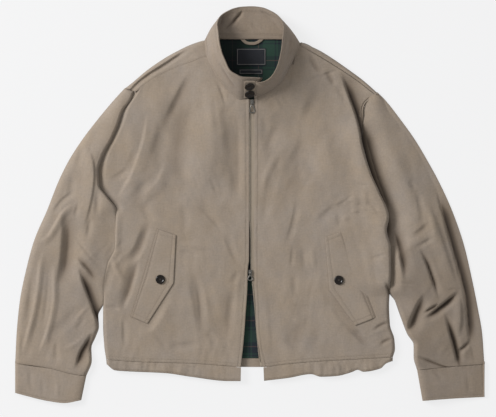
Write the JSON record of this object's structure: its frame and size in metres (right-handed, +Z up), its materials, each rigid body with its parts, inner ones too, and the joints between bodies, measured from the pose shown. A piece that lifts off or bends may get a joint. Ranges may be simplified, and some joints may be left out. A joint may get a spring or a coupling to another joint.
{
  "type": "harrington jacket",
  "caption": "Light zip jacket with buttoned stand collar, slanted flap pockets and elasticated hem, laid flat on its back.",
  "frame": {"origin": "centre of the jacket's outline on the surface that it lies on", "axes": "+Z up from the surface, +Y towards the collar, +X towards the wearer's left"},
  "size_m": [0.985, 0.8323, 0.0726],
  "materials": {
    "shell_cotton": "semi-matte plain weave, beige",
    "collar_cotton": "semi-matte plain weave, beige",
    "tartan_lining": "matte woven tartan in dark green and navy",
    "woven_label": "woven, bare, navy",
    "dark_horn": "polished, almost black",
    "old_silver": "old silver plating",
    "zip_tape": "matte woven tape"
  },
  "bodies": {
    "jacket": {"back": "shell_cotton", "hem_back": "shell_cotton", "front_right": "shell_cotton", "front_left": "shell_cotton", "hem_right": "shell_cotton", "hem_left": "shell_cotton", "top_sleeve_right": "shell_cotton", "top_sleeve_left": "shell_cotton", "under_sleeve_right": "shell_cotton", "under_sleeve_left": "shell_cotton", "cuff_right": "shell_cotton", "cuff_left": "shell_cotton", "collar_tab": "shell_cotton", "flap_right": "shell_cotton", "flap_left": "shell_cotton", "collar": "collar_cotton", "hanger_loop": "collar_cotton", "back_lining": "tartan_lining", "neck_label": "woven_label", "size_label": "woven_label", "collar_button_upper": "dark_horn", "collar_button_lower": "dark_horn", "flap_button_right": "dark_horn", "flap_button_left": "dark_horn", "slider_top": "old_silver", "slider_bottom": "old_silver", "zip_tape_right": "zip_tape", "zip_tape_left": "zip_tape"},
    "pull_top": {"pull_top": "old_silver"},
    "pull_bottom": {"pull_bottom": "old_silver"}
  },
  "joints": [
    {"name": "pull_top_hinge", "type": "hinge", "parent": "jacket", "child": "pull_top", "pos_m": [0.00467, 0.21624, 0.02814], "axis": [-0.9977, -0.0045, 0.0675], "range_deg": [0, 100]},
    {"name": "pull_bottom_hinge", "type": "hinge", "parent": "jacket", "child": "pull_bottom", "pos_m": [0.0006, -0.141, 0.01415], "axis": [-1, 0, 0], "range_deg": [0, 170]}
  ]
}
